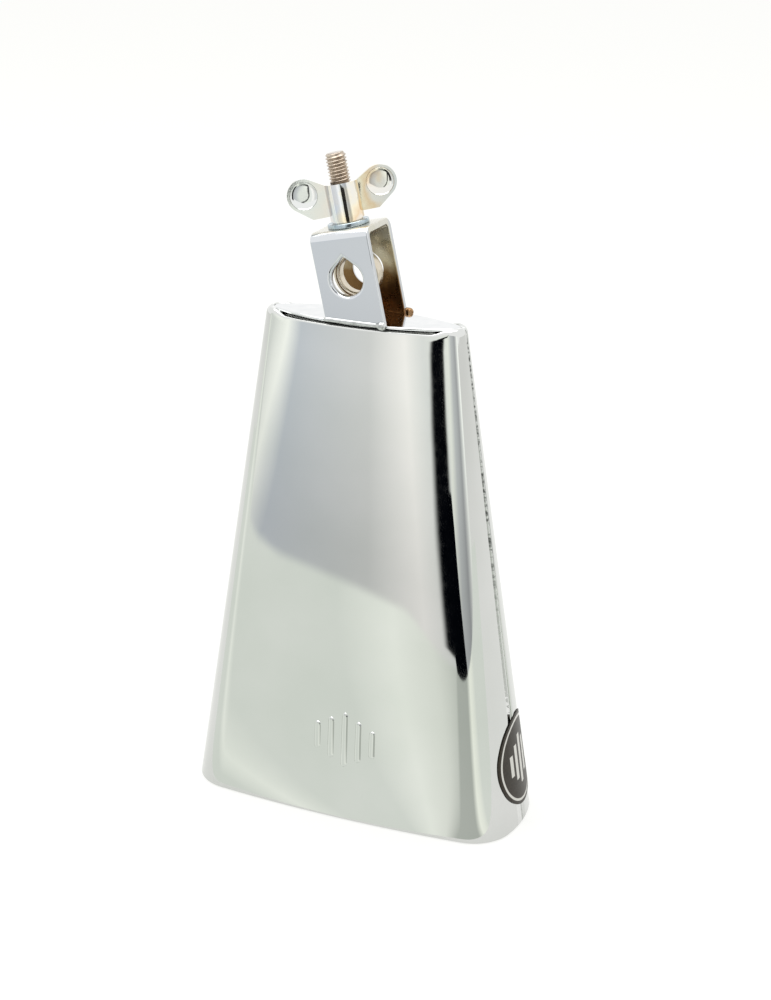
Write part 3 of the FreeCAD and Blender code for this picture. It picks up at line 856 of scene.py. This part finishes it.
def makeBracket(material):
    width, depth, height, strap = (bracket[k] for k in ("width", "depth", "height", "strap"))
    foot = -width * math.tan(math.radians(bracket["lean"]))
    outer = bentBlock(width, depth, foot, height, bracket["bend"])
    inner = bentBlock(width + 4, depth - 2 * strap, foot - 2, height - strap, bracket["bend"] - strap)
    hole = cylinder(bracket["boltHole"], 10, 48)
    moveMesh(hole, (0, 0, height))
    bm = combine(outer, [inner, teardropCutter(), hole])
    bmesh.ops.transform(bm, matrix=lean, verts=bm.verts)
    cutLevel(bm, plateTop - bracket["sunk"], clear_inner=True)
    fillHoles(bm)
    bmesh.ops.transform(bm, matrix=lean.inverted(), verts=bm.verts)
    holeMiddle = Vector((0, bracket["holeHeight"]))

    def punched(e):
        return all(abs(abs(v.co.y) - depth / 2) < 0.02
                   and (Vector((v.co.x, v.co.z)) - holeMiddle).length < bracket["punchReach"]
                   for v in e.verts)
    bevelEdges(bm, bracket["punchRound"], 30, 6, punched)
    bevelEdges(bm, bracket["edgeRound"], 50, 3, lambda e: not punched(e))
    makePiece(bm, "bent_bracket", "bell", material, ["mount_bracket"], lean)
    print("bracket made")


def makeBracketBeads(frontMaterial, rearMaterial):
    half = bracket["width"] / 2 / math.cos(math.radians(bracket["lean"]))
    for name, side, overrun, slim, node, material in (
            ("front_foot_bead", -1, -1.0, 0.55, "front_bracket_weld", frontMaterial),
            ("rear_foot_bead", 1, 0.6, 1.0, "rear_bracket_weld", rearMaterial)):
        bm = bmesh.new()
        reach = half + overrun
        bmesh.ops.create_uvsphere(bm, u_segments=24, v_segments=16, radius=bracket["beadRadius"])
        turnMesh(bm, 90, "Y")
        for v in bm.verts:
            v.co.x += 0 if abs(v.co.x) < 0.01 else math.copysign(reach, v.co.x)
        long = [e for e in bm.edges if abs(e.verts[0].co.x - e.verts[1].co.x) > reach / 2]
        bmesh.ops.subdivide_edges(bm, edges=long, cuts=36, use_grid_fill=True)
        for v in bm.verts:  # the weld pool's ripples, and the last drop at its full size
            swell = 0.975 + 0.025 * abs(math.cos(math.pi * v.co.x / bracket["beadRipple"]))
            drop = smoothStep(reach - bracket["dropFrom"], reach - bracket["dropTo"], v.co.x)
            swell *= slim + (1 - slim) * drop
            v.co.y *= swell
            v.co.z *= swell
        moveMesh(bm, (bracket["shift"], side * bracket["depth"] / 2, plateTop + bracket["beadRise"]))
        faceOut(bm)
        makePiece(bm, name, "bell", material, [node])
    print("bracket beads made")


bolt = {"radius": 4.0, "rootRadius": 3.35, "pitch": 1.25, "tip": 63.0, "chamfer": 0.9, "threadFrom": 28.5,
        "eyeInside": 7.0, "eyeBar": 2.6, "eyeThickness": 5.4, "eyeRound": 1.3, "neckOver": (1.2, 0.6),
        "crestIn": 0.03, "crest": (0.54, 0.71), "root": (0.08, 1.17), "stepsPerTurn": 32,
        "bronzeFrom": (0.2325, 0.2345)}
washer = {"foot": 35.3, "radius": 8.0, "hole": 4.3, "thickness": 1.8, "round": 0.4, "gap": 0.02}
nut = {"foot": 37.1, "gap": 0.02, "height": 14.7, "hubRadius": 6.5, "bore": 4.1, "footHeight": 0.8,
       "footInset": 0.6, "thickness": 3.0, "turn": 26.0, "earReach": 14.6, "earRise": 4.9, "earRadius": 6.3,
       "dishRadius": 5.3, "dishFloor": 1.6, "dishDepth": 1.15, "footReach": 12.7, "footDrop": 4.5,
       "topInset": 0.7, "topDrop": 0.3, "rootOver": 1.2, "edgeRound": 0.4,
       "reflectionTonesCentre": (0.0072, 0, -0.2403), "reflectionTonesReach": 0.02}


def makeBolt(material):
    radius, root, pitch = bolt["radius"], bolt["rootRadius"], bolt["pitch"]
    low, tip = bolt["threadFrom"], bolt["tip"]
    turns = math.ceil((tip - low) / pitch) + 3
    steps = bolt["stepsPerTurn"]
    crest = radius - bolt["crestIn"]
    thread = bmesh.new()
    profile = [(root, 0.0), (root, bolt["root"][0]), (crest, bolt["crest"][0]), (crest, bolt["crest"][1]),
               (root, bolt["root"][1]), (root, pitch)]
    row = [thread.verts.new((r, 0, low - 2 * pitch + h)) for r, h in profile]
    edges = [thread.edges.new(pair) for pair in zip(row, row[1:])]
    bmesh.ops.spin(thread, geom=row + edges, cent=(0, 0, 0), axis=(0, 0, 1), angle=2 * math.pi * turns,
                   dvec=(0, 0, pitch / steps), steps=steps * turns)
    mergeNear(thread, 0.005)
    cutLevel(thread, tip, 1, clear_outer=True)
    cutLevel(thread, low, -1, clear_outer=True)
    fillHoles(thread)
    for v in thread.verts:  # chamfered tip
        flat = Vector((v.co.x, v.co.y))
        limit = radius - max(0.0, v.co.z - (tip - bolt["chamfer"]))
        if flat.length > limit:
            v.co.x, v.co.y = flat * (limit / flat.length)
    faceOut(thread)

    inside, outside, thick = bolt["eyeInside"], bolt["eyeInside"] + bolt["eyeBar"], bolt["eyeThickness"]
    corners = [(inside, -thick / 2), (outside, -thick / 2), (outside, thick / 2), (inside, thick / 2)]
    ring = bmesh.new()
    lathe(ring, roundedSection(corners, bolt["eyeRound"], 5), 72)
    turnMesh(ring, 90, "X")
    moveMesh(ring, (0, 0, bracket["holeHeight"]))
    over, under = bolt["neckOver"]
    neckLow, neckHigh = bracket["holeHeight"] + inside + over, low + under
    neck = cylinder(radius, neckHigh - neckLow, 48)
    moveMesh(neck, (0, 0, (neckHigh + neckLow) / 2))
    bm = combine(ring, [neck, thread], "UNION")
    makePiece(bm, "eye_bolt_threaded", "eye_bolt", material, ["eye_bolt"], lean)
    print("bolt made")


def roundedSection(points, radius, segments=4):
    # softens the corners of a (radius, height) section before it is turned
    bm = bmesh.new()
    bm.faces.new([bm.verts.new((r, h, 0)) for r, h in points])
    bevel(bm, list(bm.verts), radius, segments, "VERTICES")
    face = max(bm.faces, key=lambda f: f.calc_area())
    softened = [(v.co.x, v.co.y) for v in face.verts]
    bm.free()
    return softened


def makeWasher(material):
    bm = bmesh.new()
    hole, radius = washer["hole"], washer["radius"]
    low, high = washer["foot"] + washer["gap"], washer["foot"] + washer["thickness"] - washer["gap"]
    corners = [(hole, low), (radius, low), (radius, high), (hole, high)]
    lathe(bm, roundedSection(corners, washer["round"]), 72)
    makePiece(bm, "flat_washer", "washer", material, ["washer"], lean)
    print("washer made")


def dishCutter(centre, way):
    # a flat-bottomed dish with a hollow wall, open to the side
    wide, narrow, deep = nut["dishRadius"], nut["dishFloor"], nut["dishDepth"]
    profile = [(0, -deep), (narrow, -deep)]
    profile += [(narrow + (wide - narrow) * math.sin(t), -deep * math.cos(t))
                for t in (math.pi * k / 32 for k in range(1, 17))]
    dish = bmesh.new()
    row = [dish.verts.new((r, 0, h)) for r, h in profile + [(wide, 2.0), (0, 2.0)]]
    edges = [dish.edges.new(pair) for pair in zip(row, row[1:])]
    bmesh.ops.spin(dish, geom=row + edges, cent=(0, 0, 0), axis=(0, 0, 1), angle=2 * math.pi, steps=64)
    mergeNear(dish, 0.001)
    faceOut(dish)
    turnMesh(dish, -90 * way, "X")
    moveMesh(dish, centre)
    return dish


def wingMesh(side, middle):
    ear = Vector((side * nut["earReach"], 0, middle + nut["earRise"]))
    foot = Vector((side * nut["footReach"], 0, middle - nut["footDrop"]))
    top = middle + nut["height"] / 2 - nut["topDrop"]
    rootX = side * (nut["bore"] + nut["rootOver"])
    rootHigh = Vector((side * (nut["hubRadius"] - nut["topInset"]), 0, top))

    def touch(source, outward):  # where a line from source just touches the ear
        line = ear - source
        turn = math.acos(nut["earRadius"] / line.length)
        back = math.atan2(-line.z, -line.x)
        return back + outward * side * turn
    first, last = touch(foot, 1), touch(rootHigh, -1)
    sweep = (last - first) % (2 * math.pi) if side > 0 else -((first - last) % (2 * math.pi))
    half = Vector((0, nut["thickness"] / 2, 0))
    edge = nut["earRadius"] * Vector((math.cos(first), 0, math.sin(first)))
    bm = bmesh.new()
    start = bm.verts.new(ear + edge - half)
    bmesh.ops.spin(bm, geom=[start], cent=ear - half, axis=(0, 1, 0), angle=-sweep, steps=40)
    row = list(bm.verts)
    for corner in (rootHigh, Vector((rootX, 0, top)), Vector((rootX, 0, middle - nut["footDrop"])), foot):
        row.append(bm.verts.new(corner - half))
        bm.edges.new((row[-2], row[-1]))
    bm.edges.new((row[-1], row[0]))
    flat = bmesh.ops.contextual_create(bm, geom=list(bm.edges))["faces"]
    extrudeBy(bm, flat, 2 * half)
    return combine(bm, [dishCutter(ear + way * half, way) for way in (-1, 1)])


def makeWingNut(material):
    low = nut["foot"] + nut["gap"]
    top = nut["foot"] + nut["height"]
    middle = nut["foot"] + nut["height"] / 2
    narrow = nut["hubRadius"] - nut["footInset"]
    step = nut["foot"] + nut["footHeight"]
    hub = bmesh.new()
    lathe(hub, [(nut["bore"], low), (narrow, low), (narrow, step), (nut["hubRadius"], step),
                (nut["hubRadius"], top), (nut["bore"], top)], 72)
    bm = combine(hub, [wingMesh(-1, middle), wingMesh(1, middle)], "UNION")
    bevelEdges(bm, nut["edgeRound"], 30, 3, lambda e: e.is_convex)
    bmesh.ops.dissolve_degenerate(bm, edges=bm.edges, dist=weld)
    for e in bm.edges:  # the wings meet the hub in a crisp corner
        e.smooth = e.calc_face_angle(0) < math.radians(35)
    makePiece(bm, "winged_nut", "wing_nut", material, ["wing_nut"],
              lean @ Matrix.Rotation(math.radians(nut["turn"]), 4, "Z"))
    print("wing nut made")


addCamera()
addStudio()
chrome = chromeFinish()
makeShells(chrome)
makeSeams(seamFinish())
makePlate(plateFinish(), brazeFinish())
makeBadge(badgeFinish())
makeEmblem(chrome)
makeBracket(bracketFinish())
makeBracketBeads(beadFinish("platedFrontBead", "#C6C8C7", "#A8AAA8"),
                 beadFinish("copperyRearBead", "#B0906C", "#775A3E"))
makeBolt(boltFinish())
makeWasher(washerFinish())
makeWingNut(nutFinish())
